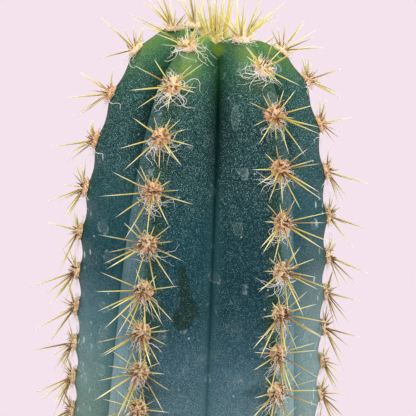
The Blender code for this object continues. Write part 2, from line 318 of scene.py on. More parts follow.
def makeBackdrop():
    # a dome of one plain colour that only the camera sees
    bpy.ops.mesh.primitive_uv_sphere_add(segments=48, ring_count=24, radius=studio["domeRadius"])
    dome = bpy.context.object
    dome.name = "backdrop"
    material, tree, shader = newMaterial("backdrop_colour")
    feed(tree.nodes["Material Output"].inputs["Surface"], plainLight(tree))
    dome.data.materials.append(material)
    dome.visible_diffuse = dome.visible_glossy = dome.visible_transmission = dome.visible_shadow = False

    bpy.ops.mesh.primitive_circle_add(vertices=96, radius=studio["floorRadius"], fill_type="NGON")
    floor = bpy.context.object
    floor.name = "floor"
    material, tree, shader = newMaterial("floor_paint")
    paint(shader, studio["floorPaint"], 0.9)
    share = ranged(distanceOf(objectPlace(tree)), studio["shadowRadius"], studio["plainRadius"])
    blend = addNode(tree, "ShaderNodeMixShader", {0: share, 1: shader.outputs[0], 2: plainLight(tree)})
    feed(tree.nodes["Material Output"].inputs["Surface"], blend.outputs[0])
    floor.data.materials.append(material)


deselectAll()
makeCamera()
makeLights()
makeBackdrop()
print("camera, light and backdrop made")


# The stem's form: the CAD model's, with crisper ribs, deeper notches and a lower tip

stem = {
    "tipHeight": 0.236,
    "height": 0.150,  # above the soil
    "buried": 0.034,
    "crestRadius": 0.0295,
    "domeDepth": 0.063,
    "domeCurve": 1.88,
    "domeFlatness": 0.29,
    "flare": 0.028,
    "tipRadius": 0.005,
    "tipDip": 0.0016,
    "tipDipPower": 1.5,
    "tipSteps": 600,  # the outline's points in the dip at the tip
    "lean": 0.0029,
    "leanPower": 1.5,
    "ribs": 6,
    "firstTurn": -25,
    "ribDepth": 0.0102,
    "ribFade": 0.106,  # the ribs stay deep further down than in the CAD model
    "ribFadePower": 1.5,
    "crestRounding": 0.09,
    "grooveDepth": 0.0009,
    "grooveWidth": 0.09,
    "furrowSag": 0.0045,
    "sagFade": 0.008,
    "notch": 0.0011,
    "notchPlace": 0.6,
    "middleSink": 0.0015,  # how much deeper the tip's middle lies than in the CAD model
    "middleEnds": (0.004, 0.0125),
    "ribSink": [0.0, 0.0002, 0.0018, 0.0022, -0.0003, -0.0008],  # and each rib's shoulder
    "shoulderStart": (0.002, 0.009),
    "shoulderEnd": (0.014, 0.030),
}

areoles = {
    "first": [0.0139, 0.0099, 0.0062, 0.0123, 0.008, 0.0096],  # from the tip, on each rib
    "onRib": 16,
    "step": 0.0089,
    "longSeason": 0.0025,
    "longSeasonAt": 0.036,
    "longSeasonSpread": 0.0256,
    "youngLength": 0.014,
    "frameReach": 0.002,
}

ribAngle = 2 * math.pi / stem["ribs"]
firstTurn = math.radians(stem["firstTurn"])


def crestOutline():
    radius, dome, steps = stem["crestRadius"], stem["domeDepth"], stem["tipSteps"]
    lipFlatness = (stem["tipRadius"] / radius) ** (1 / stem["domeFlatness"])
    lip = dome * (1 - (1 - lipFlatness) ** (1 / stem["domeCurve"]))
    dipRadius = np.linspace(0, stem["tipRadius"], steps, endpoint=False)
    dipDepth = lip + stem["tipDip"] * (1 - (dipRadius / stem["tipRadius"]) ** 2) ** stem["tipDipPower"]
    depth = lip + (stem["height"] - lip) * np.linspace(0, 1, steps) ** 2
    above = np.clip(1 - depth / dome, 0, 1)
    column = radius * (1 - above ** stem["domeCurve"]) ** stem["domeFlatness"]
    column += stem["flare"] * np.maximum(depth - dome, 0)
    sunk = np.linspace(0, 1, steps)[1:]
    depths = np.concatenate([dipDepth, depth, stem["height"] + stem["buried"] * sunk])
    radii = np.concatenate([dipRadius, column, column[-1] * np.sqrt(1 - sunk**3)])
    lengths = np.concatenate([[0], np.cumsum(np.hypot(np.diff(radii), np.diff(depths)))])
    return lengths, depths, radii


crestLengths, crestDepths, crestRadii = crestOutline()
footLength = crestLengths[-1]
soilLength = crestLengths[crestDepths <= stem["height"]][-1]


def depthAt(length):
    return np.interp(length, crestLengths, crestDepths)


def crestAt(length):
    return np.interp(length, crestLengths, crestRadii)


def areoleLengths(first):
    places = [first]
    while len(places) < areoles["onRib"]:
        season = math.exp(-(((places[-1] - areoles["longSeasonAt"]) / areoles["longSeasonSpread"]) ** 2))
        places.append(places[-1] + areoles["step"] + areoles["longSeason"] * season)
    return np.array(places)


ribAreoles = [areoleLengths(first) for first in areoles["first"]]


def ribPlace(turn):
    # which rib a turn is on, and how far off its crest, from -1 to 1 at the furrows
    place = (turn - firstTurn) / ribAngle
    rib = np.round(place).astype(int)
    return rib % stem["ribs"], (place - rib) * 2


def crestNotch(rib, length):
    depth = np.zeros(np.shape(length))
    power = math.log(0.5) / math.log(stem["notchPlace"])
    for number, places in enumerate(ribAreoles):
        above = np.clip(np.searchsorted(places, length, side="right") - 1, 0, len(places) - 2)
        share = (length - places[above]) / (places[above + 1] - places[above])
        inside = (rib == number) & (share >= 0) & (share < 1)
        depth = np.where(inside, np.sin(math.pi * np.clip(share, 0, 1) ** power), depth)
    return depth * stem["notch"]


def tipSink(turn, length):
    place = (turn - firstTurn) / ribAngle
    rib = np.floor(place).astype(int)
    share = smoothStep(place - rib, 0, 1)
    amounts = np.array(stem["ribSink"])
    shoulder = amounts[rib % stem["ribs"]] * (1 - share) + amounts[(rib + 1) % stem["ribs"]] * share
    shoulder = shoulder * smoothStep(length, *stem["shoulderStart"])
    shoulder = shoulder * (1 - smoothStep(length, *stem["shoulderEnd"]))
    return shoulder + stem["middleSink"] * (1 - smoothStep(length, *stem["middleEnds"]))


def skinPoint(turn, length):
    turn, length = np.broadcast_arrays(turn, length)
    length = np.clip(length, 0, footLength)
    depth = depthAt(length)
    crest = crestAt(length)
    rib, share = ribPlace(turn)
    off = np.abs(share)
    rounding = stem["crestRounding"]
    fall = (np.hypot(off, rounding) - rounding) / (math.hypot(1, rounding) - rounding)
    nearTip = np.minimum(1, crest / (2 * stem["tipRadius"]))
    lasting = np.exp(-((depth / stem["ribFade"]) ** stem["ribFadePower"]))
    fade = nearTip * crest / stem["crestRadius"] * lasting
    groove = stem["grooveDepth"] * fade * np.exp(-(1 - off) / stem["grooveWidth"])
    notch = crestNotch(rib, length) * (1 - off) ** 2
    radius = np.maximum(crest - stem["ribDepth"] * fade * fall - groove - notch, 0)
    lean = stem["lean"] * np.maximum(0, 1 - depth / stem["height"]) ** stem["leanPower"]
    sag = stem["furrowSag"] * nearTip * fall * np.exp(-depth / stem["sagFade"])
    high = stem["tipHeight"] - depth - sag - tipSink(turn, length)
    return np.stack([lean + radius * np.sin(turn), -radius * np.cos(turn), high], axis=-1)


def skinFrame(turn, length, reach=0.6 * mm):
    # place, direction across to the right, direction towards the tip, and outward normal
    turn, length = np.broadcast_arrays(turn, length)
    radius = np.maximum(crestAt(length), 2 * mm)
    across = unit(skinPoint(turn + reach / radius, length) - skinPoint(turn - reach / radius, length))
    up = unit(skinPoint(turn, length - reach) - skinPoint(turn, length + reach))
    normal = unit(np.cross(across, up))
    return skinPoint(turn, length), across, unit(np.cross(normal, across)), normal


skin = {
    "sidesOnRib": 32,
    "rings": 240,
    "ringCrowding": 1.15,  # rings stand closer at the tip
    "buriedRings": 12,
    "crowding": 0.45,  # sides stand closer at the crests and furrows
    "frontTurn": 5,  # the two flanks at this furrow face the front, and get painted shade
    "frontEnds": (26, 34),
    "stripEnds": (29, 32),
    "outerEnds": (57, 62),
}


def makeSkin():
    sides = skin["sidesOnRib"] * stem["ribs"]
    shown = soilLength * np.linspace(0, 1, skin["rings"]) ** skin["ringCrowding"]
    sunk = np.linspace(soilLength, footLength, skin["buriedRings"] + 1)[1:]
    ringLengths = np.concatenate([shown, sunk])
    rings = len(ringLengths) - 1
    bpy.ops.mesh.primitive_uv_sphere_add(segments=sides, ring_count=rings, radius=1)
    thing = bpy.context.object
    thing.name = "stem_skin"
    ball = vertexArray(thing)
    ring = np.round(np.arccos(np.clip(ball[:, 2], -1, 1)) / math.pi * rings).astype(int)
    side = np.round(np.arctan2(ball[:, 0], -ball[:, 1]) / (2 * math.pi) * sides)
    step = side / skin["sidesOnRib"] * 2
    step = step - skin["crowding"] * np.sin(2 * math.pi * step) / (2 * math.pi)
    turn = firstTurn + step * ribAngle / 2
    turn = np.where((ring == 0) | (ring == rings), 0, turn)
    length = ringLengths[ring]
    setVertices(thing, skinPoint(turn, length))

    # marks for the material, in millimetres or as shares
    rib, share = ribPlace(turn)
    halfWidth = crestAt(length) * ribAngle / 2
    gap = np.full(len(turn), 1.0)
    for number, places in enumerate(ribAreoles):
        along = np.min(np.abs(length[:, None] - places[None, :]), axis=1)
        gap = np.where(rib == number, np.hypot(along, share * halfWidth), gap)
    around = np.abs((np.degrees(turn) - skin["frontTurn"] + 180) % 360 - 180)
    outer = smoothStep(around, *skin["outerEnds"])
    marks = {
        "depth": depthAt(length) / mm,
        "offCrest": np.abs(share),
        "gap": gap / mm,
        "front": 1 - smoothStep(around, *skin["frontEnds"]),
        "strip": smoothStep(around, *skin["stripEnds"]) * (1 - outer),
        "outer": outer,
        "left": 0.5 - 0.5 * np.sin(turn - math.radians(skin["frontTurn"])),
    }
    for name, values in marks.items():
        addAttribute(thing, name, values)
    return thing


skinTones = {
    "span": 150,  # millimetres of depth that the stops below are shares of
    "wander": 7,
    "stops": [
        (0.0, (50, 96, 50)),
        (0.03, (46, 92, 54)),
        (0.075, (30, 72, 56)),
        (0.16, (6, 58, 60)),
        (0.27, (12, 64, 72)),
        (0.36, (14, 62, 72)),
        (0.44, (66, 104, 116)),
        (0.54, (96, 131, 138)),
        (0.64, (92, 123, 120)),
        (1.0, (107, 128, 112)),
    ],
}

washed = [
    # turn, then depth, half width and half height in millimetres, where drips washed the bloom off the skin
    (-10.2, 48.0, 0.95, 1.4),
    (-9.2, 50.2, 1.3, 1.6),
    (-8.3, 52.4, 1.3, 2.1),
    (-7.4, 54.8, 1.55, 2.5),
    (-8.9, 58.4, 2.3, 2.6),
    (-5.9, 56.8, 2.0, 2.5),
    (23.4, 75.6, 1.7, 0.8),
    (26.6, 74.6, 1.1, 1.0),
]

drops = [
    # the same for the larger dried drops
    (15.6, 15.8, 0.8, 2.5),
    (16.8, 38.8, 1.0, 1.4),
    (-17.0, 61.8, 0.8, 0.9),
]


def patchEdge(place, patches):
    # about 1 on the ragged edge of the nearest patch, and less inside it
    nearest = None
    for turn, depth, halfWidth, halfHeight in patches:
        length = np.interp(depth * mm, crestDepths, crestLengths)
        centre = skinPoint(math.radians(turn), length)
        size = (halfWidth * mm, 4 * mm, halfHeight * mm)
        inputs = {
            "Vector": place,
            "Scale": [1 / value for value in size],
            "Location": [-spot / value for spot, value in zip(centre, size)],
        }
        away = distanceOf(addNode(place.id_data, "ShaderNodeMapping", inputs).outputs[0])
        nearest = away if nearest is None else maths("MINIMUM", nearest, away)
    ragged = maths("SUBTRACT", noiseValue(place, 0.9, 3, 0.6), 0.5)
    return maths("ADD", nearest, times(ragged, 0.9))


def toneByDepth(place, marks, bloom):
    depth, off, front = marks["depth"], marks["offCrest"], marks["front"]
    patches = noiseValue(place, 9, 4, 0.55)
    wander = times(maths("SUBTRACT", patches, 0.5), skinTones["wander"])
    # the front flanks are darker from 38 to 66 millimetres down
    wander = maths("SUBTRACT", wander, times(front, ranged(depth, 38, 66, 0, 5)))
    level = maths("DIVIDE", maths("ADD", depth, wander), skinTones["span"])
    colour = colourRamp(level, skinTones["stops"])
    between = times(ranged(off, 0.3, 0.04), ranged(marks["gap"], 7, 3, 0.3, 0.75))
    colour = mixColours(between, colour, (44, 74, 36))
    # the lobes at the top are light yellow-green young growth, with painted light from above that is
    # stronger on the front lobes
    lobe = times(ranged(depth, 13, 3), ranged(off, 0.7, 0.1), ranged(front, 0, 1, 0.36, 0.74))
    colour = mixColours(lobe, colour, (132, 166, 70))
    # pale bloom, thicker lower down
    bloomShare = times(ranged(bloom, 0.5, 0.75, 0, 0.32), ranged(depth, 45, 80, 0.1, 1))
    return mixColours(bloomShare, colour, (140, 156, 150))


def tintFlanks(tree, marks, colour):
    # painted light and shade on the flanks, and the left outer flanks greener low down
    depth, outer, left = marks["depth"], marks["outer"], marks["left"]
    # painted light: the outer flanks paler towards the furrows
    pale = times(ranged(depth, 14, 28, 0, 0.55), ranged(depth, 34, 48, 1, 0.2))
    pale = larger(pale, ranged(depth, 50, 66))
    paintedSideLight = times(ranged(marks["offCrest"], 0.2, 0.95, 0.08, 0.42), pale, ranged(left, 0.3, 0.7, 0.6, 1))
    colour = mixColours(times(paintedSideLight, outer), colour, (74, 118, 116))
    green = times(outer, left, ranged(depth, 60, 90, 0, 0.5))
    colour = mixColours(green, colour, (112, 140, 114))
    # painted warm light on the right outer flanks
    paintedWarmLight = times(outer, ranged(left, 0.5, 0.3), ranged(depth, 42, 66, 0, 0.18))
    colour = mixColours(paintedWarmLight, colour, (168, 172, 148))
    # one front flank is darker further up, and the other further down
    shaded = times(ranged(left, 0.51, 0.45, 0, 0.34), ranged(depth, 48, 62, 1, 0))
    shadedLow = times(ranged(left, 0.49, 0.55, 0, 0.2), ranged(depth, 62, 76))
    colour = mixColours(times(marks["front"], larger(shaded, shadedLow)), colour, (0, 34, 44))
    # painted highlight: the pale strip beside each front rib, where the side light catches the flank
    streaks = noiseValue(objectPlace(tree, (1, 1, 0.16)), 0.9, 3, 0.6)
    strip = larger(ranged(depth, 22, 46, 0, 0.24), ranged(depth, 46, 72, 0, 0.4))
    strip = times(strip, ranged(depth, 90, 124, 1, 0.4), marks["strip"])
    strip = times(strip, ranged(streaks, 0.34, 0.62, 0.6, 1.25), ranged(left, 0.6, 0.4, 1, 0.9))
    stripColour = mixColours(ranged(depth, 62, 100), (116, 160, 166), (182, 194, 166))
    return mixColours(strip, colour, stripColour)


def dotWithWax(place, marks, colour):
    # pores, each with a pale dot of wax, but few in the furrows
    depth, off = marks["depth"], marks["offCrest"]
    pores, poreLuck = cells(place, 0.26, 0.8)
    dot = times(ranged(pores, 0.38, 0.24), ranged(poreLuck, 0.35, 0.85, 0.05, 1.1))
    fine = noiseValue(place, 0.14, 1, 0.5)
    calm = times(larger(marks["outer"], ranged(depth, 20, 44, 0, 0.7)), ranged(depth, 20, 44))
    pits = larger(ranged(fine, 0.5, 0.38, 0, 0.4), ranged(pores, 0.46, 0.66, 0, 0.9))
    pits = times(pits, ranged(depth, 4, 20, 0.3, 0.9), ranged(calm, 0, 1, 1, 0.4))
    colour = mixColours(pits, colour, (0, 18, 24))
    plain = times(ranged(off, 0.98, 0.9, 0.2, 1), ranged(depth, 3, 12, 0.5, 1), ranged(calm, 0, 1, 1, 0.42))
    worn = ranged(noiseValue(place, 6, 3), 0.36, 0.58, 0.82, 1)
    wax = larger(dot, times(ranged(fine, 0.52, 0.6), 0.26))
    wax = times(wax, times(plain, worn))
    waxColour = mixColours(ranged(depth, 45, 80), (144, 184, 180), (166, 192, 194))
    return mixColours(wax, colour, waxColour), wax


def dryDrops(tree, place, marks, colour):
    # rings that dried drops left, larger drops, and small white flecks
    wobble = addNode(tree, "ShaderNodeTexNoise", {"Vector": place, "Scale": 1 / (3 * mm)})
    inputs = {0: wobble.outputs["Color"], 1: (2.2 * mm, 2.2 * mm, 3.2 * mm), 2: place}
    swirl = addNode(tree, "ShaderNodeVectorMath", inputs, operation="MULTIPLY_ADD")
    spots, spotLuck = cells(swirl.outputs[0], 6)
    broken = ranged(noiseValue(place, 1.3, 2), 0.42, 0.62)
    ring = times(ranged(spots, 0.16, 0.24), ranged(spots, 0.3, 0.25), broken)
    ring = times(ring, ranged(spotLuck, 0.5, 0.6, 0, 0.5))
    inside = times(ranged(spots, 0.26, 0.2, 0, 0.09), ranged(spotLuck, 0.5, 0.6))
    colour = mixColours(larger(ring, inside), colour, (150, 172, 172))
    drop = patchEdge(place, drops)
    rim = times(ranged(drop, 0.72, 0.92), ranged(drop, 1.14, 0.96, 0, 0.26))
    colour = mixColours(larger(rim, ranged(drop, 1, 0.8, 0, 0.07)), colour, (150, 172, 160))
    flecks, fleckLuck = cells(place, 3.2)
    speck = times(ranged(flecks, 0.09, 0.05), ranged(fleckLuck, 0.6, 0.62), 0.7)
    colour = mixColours(speck, colour, (190, 204, 200))
    # long pale flecks beside the crests, on the outer flanks
    off = marks["offCrest"]
    long, longLuck = cells(objectPlace(tree, (1, 1, 0.45)), 1.6)
    beside = times(ranged(off, 0.02, 0.12), ranged(off, 0.8, 0.4, 0, 0.85), marks["outer"])
    beside = times(beside, ranged(marks["depth"], 20, 40))
    oblong = times(ranged(long, 0.3, 0.17), ranged(longLuck, 0.6, 0.75))
    return mixColours(times(oblong, beside), colour, (156, 184, 180))


def darken(place, marks, wax, colour):
    # dark skin where water ran, and painted shade in the furrows
    depth, off = marks["depth"], marks["offCrest"]
    wet = mixColours(times(wax, 1.1), (12, 42, 38), (118, 146, 128))
    drip = times(ranged(patchEdge(place, washed), 1.08, 0.92, 0, 0.88), ranged(depth, 64, 70, 1, 0.45))
    colour = mixColours(drip, colour, wet)
    # painted light on the skin near the furrows, lifting their shade
    lit = times(ranged(off, 0.78, 0.96), ranged(depth, 24, 42, 0, 0.26))
    colour = mixColours(lit, colour, (66, 110, 114))
    # painted shade down the furrows, darker still in the crease at their bottom
    broad = times(ranged(off, 0.6, 1.0), ranged(depth, 14, 37, 0.72, 0))
    narrow = times(ranged(off, 0.86, 1.0), ranged(depth, 8, 28, 0.9, 0))
    topCrease = times(ranged(off, 0.92, 0.985), ranged(depth, 14, 34, 1, 0))
    furrow = times(larger(larger(broad, narrow), topCrease), ranged(depth, 0.6, 2.4))
    crease = times(ranged(off, 0.955, 1), ranged(depth, 20, 90, 0.8, 0.35))
    shade = mixColours(ranged(depth, 4, 16), (12, 50, 6), (0, 26, 18))
    colour = mixColours(larger(furrow, crease), colour, shade)
    # yellow-green in the furrows at the very tip
    glow = times(ranged(depth, 1.9, 0.3), ranged(off, 0.45, 0.85), 0.52)
    return mixColours(glow, colour, (122, 142, 30))


def skinMaterial():
    material, tree, shader = newMaterial("waxy_skin")
    place = objectPlace(tree)
    names = ("depth", "offCrest", "gap", "front", "strip", "outer", "left")
    marks = {name: readAttribute(tree, name) for name in names}
    bloom = noiseValue(place, 3.4, 5, 0.65)
    colour = toneByDepth(place, marks, bloom)
    colour = tintFlanks(tree, marks, colour)
    colour, wax = dotWithWax(place, marks, colour)
    colour = dryDrops(tree, place, marks, colour)
    colour = darken(place, marks, wax, colour)
    paint(shader, colour, ranged(bloom, 0.3, 0.8, 0.45, 0.62))
    shader.inputs["Specular IOR Level"].default_value = 0.03
    bumpFrom(shader, wax, 0.1, 0.05)
    return material


finishPiece(makeSkin(), skinMaterial(), "stem_skin", "stem")


# Areoles: felt pads on the crests, with their frames

def findAreoles():
    spots = []
    for rib, places in enumerate(ribAreoles):
        turn = firstTurn + rib * ribAngle
        for length in places:
            spot = {"rib": rib, "turn": turn, "length": length}
            spot["young"] = math.exp(-length / areoles["youngLength"])
            frameParts = skinFrame(turn, length, areoles["frameReach"])
            spot.update(zip(("place", "across", "up", "normal"), frameParts))
            spots.append(spot)
    return spots


areoleSpots = findAreoles()

pad = {
    "radius": 2.0 * mm,
    "height": 1.0 * mm,
    "cut": -0.35,  # the ball's lower part is cut off here
    "sunk": 0.2 * mm,
    "youngShrink": 0.15,
    "lumps": 0.35 * mm,
    "lumpSize": 1.3 * mm,
}


def makePads():
    bpy.ops.mesh.primitive_ico_sphere_add(subdivisions=3, radius=1)
    editAll()
    bpy.ops.mesh.bisect(plane_co=(0, 0, pad["cut"]), plane_no=(0, 0, 1), clear_inner=True, use_fill=False)
    bpy.ops.object.mode_set(mode="OBJECT")
    points, faces = shapeOf(bpy.context.object)
    copies = []
    for spot in areoleSpots:
        size = pad["radius"] * (1 - pad["youngShrink"] * spot["young"])
        local = spot["across"] * (points[:, :1] * size) + spot["up"] * (points[:, 1:2] * size)
        local = local + spot["normal"] * (points[:, 2:] * pad["height"] - pad["sunk"])
        world = spot["place"] + local
        lumps = np.array([noise.noise(Vector(point / pad["lumpSize"])) for point in world])
        copies.append(world + unit(local) * (lumps * pad["lumps"])[:, None])
    return joinCopies("areole_felt", copies, faces)


def aged(place, colour, pale):
    # old felt and wool are tan, those further up are more orange, and the topmost are pale
    high = heightOf(place)
    colour = mixColours(ranged(high, 0.19, 0.212, 0, 0.28), colour, (240, 158, 104))
    return mixColours(ranged(high, 0.2235, 0.229, 0, 0.6), colour, pale)


def feltMaterial():
    material, tree, shader = newMaterial("areole_felt")
    place = objectPlace(tree)
    grain = noiseValue(place, 0.5, 3, 0.7)
    stops = [(0.3, (74, 42, 26)), (0.44, (190, 146, 102)), (0.56, (250, 216, 168)), (0.72, (255, 248, 222))]
    paint(shader, aged(place, colourRamp(grain, stops), (255, 230, 184)), 0.95, 0.2)
    bumpFrom(shader, grain, 0.9, 0.3)
    return material


finishPiece(makePads(), feltMaterial(), "tuft_gold")


# Spines

spine = {
    "sides": 6,
    "rings": 6,
    "point": 0.06,  # the last ring's share of the radius
    "radius": 0.18 * mm,
    "rootSunk": 0.9 * mm,
    "rootRise": 0.45 * mm,
    "rootSpread": 0.9 * mm,
    "bendOut": (-0.09, 0.05),
    "bendAcross": (-0.05, 0.05),
}


def makeSpineShape():
    # one spine of unit length and unit radius, drawn out to a point
    bpy.ops.mesh.primitive_circle_add(vertices=spine["sides"], radius=1, fill_type="NGON")
    editAll()
    radius = 1
    for ring in range(1, spine["rings"] + 1):
        share = ring / spine["rings"]
        wanted = max((1 - share**2.2) ** 0.9, spine["point"])
        bpy.ops.mesh.extrude_region_move(TRANSFORM_OT_translate={"value": (0, 0, 1 / spine["rings"])})
        bpy.ops.transform.resize(value=(wanted / radius, wanted / radius, 1))
        radius = wanted
    bpy.ops.mesh.merge(type="CENTER")
    faceOutwards()
    return shapeOf(bpy.context.object)


spineShape = makeSpineShape()


def growSpines(name, plans):
    # each plan: root, direction, bend, length, radius, tone from 0 to 1, youth from 0 to 1
    points, faces = spineShape
    high = points[:, 2:]
    copies = []
    for plan in plans:
        direction = unit(plan["direction"])
        side = unit(np.cross(direction, [0.3, 0.1, 1.0]))
        other = np.cross(direction, side)
        world = plan["root"] + (side * points[:, :1] + other * points[:, 1:2]) * plan["radius"]
        copies.append(world + direction * high * plan["length"] + plan["bend"] * high**2 * plan["length"])
    thing = joinCopies(name, copies, faces)
    addAttribute(thing, "along", np.tile(points[:, 2], len(plans)))
    for mark in ("tone", "youth"):
        addAttribute(thing, mark, np.repeat([plan[mark] for plan in plans], len(points)))
    return thing


radials = {
    "turns": (22, 50, 78, 104, 130, 156, 180),  # from the areole's upper side, on both sides of it
    "lengths": (5.0, 6.5, 8.5, 10.0, 11.0, 10.0, 9.0),  # millimetres
    "missing": 0.2,
    "rise": 20,
    "turnSpread": 10,
    "riseSpread": 9,
    "youngLift": 1.3,  # how far the spines near the tip turn upwards
}

centrals = {
    "count": (1, 2),
    "turn": 180,
    "turnSpread": 80,
    "rise": (38, 66),
    "lengths": (9, 12.5),  # millimetres
}

stubs = {
    "count": (7, 12),  # short dark spine bases in the middle of an areole
    "rise": (45, 90),
    "lengths": (1.0, 2.0),  # millimetres
    "radius": 0.18 * mm,
}


def spinePlan(spot, turn, rise, length, radius, dice):
    turn, rise = math.radians(turn), math.radians(rise)
    along = spot["up"] * math.cos(turn) + spot["across"] * math.sin(turn)
    direction = along * math.cos(rise) + spot["normal"] * math.sin(rise)
    direction = unit(direction + upright * spot["young"] * radials["youngLift"])
    out = spot["normal"] * spine["rootRise"] + along * (spine["rootSpread"] * math.cos(rise))
    bendOut = spot["normal"] * dice.uniform(*spine["bendOut"])
    return {
        "root": spot["place"] + out - direction * spine["rootSunk"],
        "direction": direction,
        "bend": bendOut + spot["across"] * dice.uniform(*spine["bendAcross"]),
        "length": length * mm + spine["rootSunk"],
        "radius": radius,
        "tone": dice.random() ** (1 - 0.5 * smoothStep(spot["length"], 50 * mm, 85 * mm)),
        "youth": spot["young"],
    }


def clearOfSoil(plan):
    end = plan["root"] + (plan["direction"] + plan["bend"]) * plan["length"]
    return end[2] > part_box("soil")[1][2] + 0.5 * mm


def areoleSpines():
    dice = random.Random(21)
    plans = []
    for spot in areoleSpots:
        vigour = dice.uniform(0.88, 1.12)
        missing = radials["missing"] * (1 - 0.5 * smoothStep(spot["length"], 40 * mm, 70 * mm))
        for side in (-1, 1):
            for turn, length in zip(radials["turns"], radials["lengths"]):
                if (turn == 180 and side == 1) or dice.random() < missing + 0.3 * spot["young"]:
                    continue
                turn = side * (turn + dice.uniform(-1, 1) * radials["turnSpread"])
                rise = radials["rise"] + dice.uniform(-1, 1) * radials["riseSpread"]
                length = length * vigour * dice.uniform(0.75, 1.1)
                size = spine["radius"] * dice.uniform(0.8, 1.05) * (1 - 0.3 * spot["young"])
                plans.append(spinePlan(spot, turn, rise, length, size, dice))
        for _ in range(dice.randint(*centrals["count"])):
            turn = centrals["turn"] + dice.uniform(-1, 1) * centrals["turnSpread"]
            rise = dice.uniform(*centrals["rise"])
            length = dice.uniform(*centrals["lengths"])
            size = spine["radius"] * dice.uniform(1.1, 1.3)
            plans.append(spinePlan(spot, turn, rise, length, size, dice))
    return [plan for plan in plans if clearOfSoil(plan)]


def areoleStubs():
    dice = random.Random(8)
    plans = []
    for spot in areoleSpots:
        for _ in range(round(dice.randint(*stubs["count"]) * max(0, 1 - 2 * spot["young"]))):
            turn, rise = dice.uniform(0, 360), dice.uniform(*stubs["rise"])
            plan = spinePlan(spot, turn, rise, dice.uniform(*stubs["lengths"]), stubs["radius"], dice)
            shift = spot["across"] * dice.uniform(-1, 1) + spot["up"] * dice.uniform(-1, 1)
            plan["root"] = plan["root"] + shift * mm
            plans.append(plan)
    return plans


oldSpine = [
    (0.08, (92, 52, 26)),
    (0.18, (142, 98, 42)),
    (0.32, (186, 164, 64)),
    (0.62, (216, 206, 116)),
    (0.9, (246, 242, 200)),
]
youngSpine = [
    (0.04, (150, 104, 40)),
    (0.14, (222, 202, 60)),
    (0.6, (242, 232, 122)),
    (0.95, (252, 248, 206)),
]
stubTones = [(0.4, (46, 20, 14)), (0.8, (84, 44, 26)), (1.0, (158, 112, 66))]


def spineMaterial():
    material, tree, shader = newMaterial("golden_spines")
    along, tone, youth = [readAttribute(tree, name) for name in ("along", "tone", "youth")]
    old, young = colourRamp(along, oldSpine), colourRamp(along, youngSpine)
    colour = mixColours(ranged(youth, 0.05, 0.5), old, young)
    brown = times(ranged(tone, 0.6, 0.9), ranged(along, 0.95, 0.3, 0.2, 0.75))
    colour = mixColours(brown, colour, (124, 80, 38))
    base = times(ranged(along, 0.36, 0.12), ranged(tone, 0.4, 0.7, 0, 0.7))
    paint(shader, mixColours(base, colour, (112, 60, 34)), 0.3)
    return material


def stubMaterial():
    material, tree, shader = newMaterial("brown_spine_bases")
    paint(shader, colourRamp(readAttribute(tree, "along"), stubTones), 0.5)
    return material


spineFinish = spineMaterial()
finishPiece(growSpines("areole_spines", areoleSpines()), spineFinish, "tuft_gold")
finishPiece(growSpines("areole_stubs", areoleStubs()), stubMaterial(), "tuft_gold")


# Curly wool and hairs, drawn as fine curves and then made meshes

def drawStrands(name, strands):
    # each strand: its points and its radius
    curve = bpy.data.curves.new(name, "CURVE")
    curve.dimensions = "3D"
    curve.bevel_resolution = 0
    curve.bevel_depth = 1
    for points, radius in strands:
        spline = curve.splines.new("POLY")
        spline.points.add(len(points) - 1)
        flat = np.concatenate([points, np.ones((len(points), 1))], axis=1)
        spline.points.foreach_set("co", flat.ravel())
        taper = radius * (1 - 0.7 * np.linspace(0, 1, len(points)) ** 2)
        spline.points.foreach_set("radius", taper)
    thing = bpy.data.objects.new(name, curve)
    bpy.context.scene.collection.objects.link(thing)
    selectOnly(thing)
    bpy.ops.object.convert(target="MESH")
    return bpy.context.object


def curlyStrand(dice, start, way, kind, stretch=1):
    # a strand's points and radius; kind is a dictionary with points, reach, curl and radius
    steps = np.linspace(0, 1, kind["points"])[:, None]
    points = start + way * steps * dice.uniform(*kind["reach"]) * stretch
    curl = np.cumsum(dice.normal(0, kind["curl"], (kind["points"], 3)), axis=0)
    return points + curl * (steps > 0), kind["radius"]


wool = {
    "onPad": 82,
    "sunk": 0.5 * mm,
    "points": 4,
    "reach": (0.4 * mm, 1.2 * mm),
    "youngReach": 1.2,  # how much longer the wool is near the tip
    "curl": 0.32 * mm,
    "radius": 0.062 * mm,
}


def padWool():
    dice = np.random.default_rng(5)
    strands = []
    for spot in areoleSpots:
        for _ in range(wool["onPad"]):
            turn = dice.uniform(0, 2 * math.pi)
            out = math.sqrt(dice.random())
            flat = spot["across"] * math.cos(turn) + spot["up"] * math.sin(turn)
            high = math.sqrt(max(0.05, 1 - out * out))
            lift = high * pad["height"] - wool["sunk"]
            start = spot["place"] + flat * out * pad["radius"] + spot["normal"] * lift
            way = unit(flat * out + spot["normal"] * (0.4 + high))
            strands.append(curlyStrand(dice, start, way, wool, 1 + wool["youngReach"] * spot["young"]))
    return strands


hairs = {
    "onAreole": (17, 31),
    "onRib": [1.0, 1.0, 0.35, 0.7, 0.7, 0.4],  # share of the hairs on each rib
    "youngLess": 0.55,
    "points": 14,
    "length": (2.2 * mm, 6.0 * mm),
    "radius": 0.048 * mm,
    "rootOut": 0.75,  # share of the pad's radius
    "spread": 0.45,  # of the direction they leave in, in radians, and more near the tip
    "youngSpread": 0.8,
    "rootSpread": 0.5,
    "waves": 0.21,
    "kinks": 0.15,
    "drop": 0.12,  # how strongly they turn downwards
    "lift": 0.6 * mm,
    "leastLift": 0.2 * mm,
}


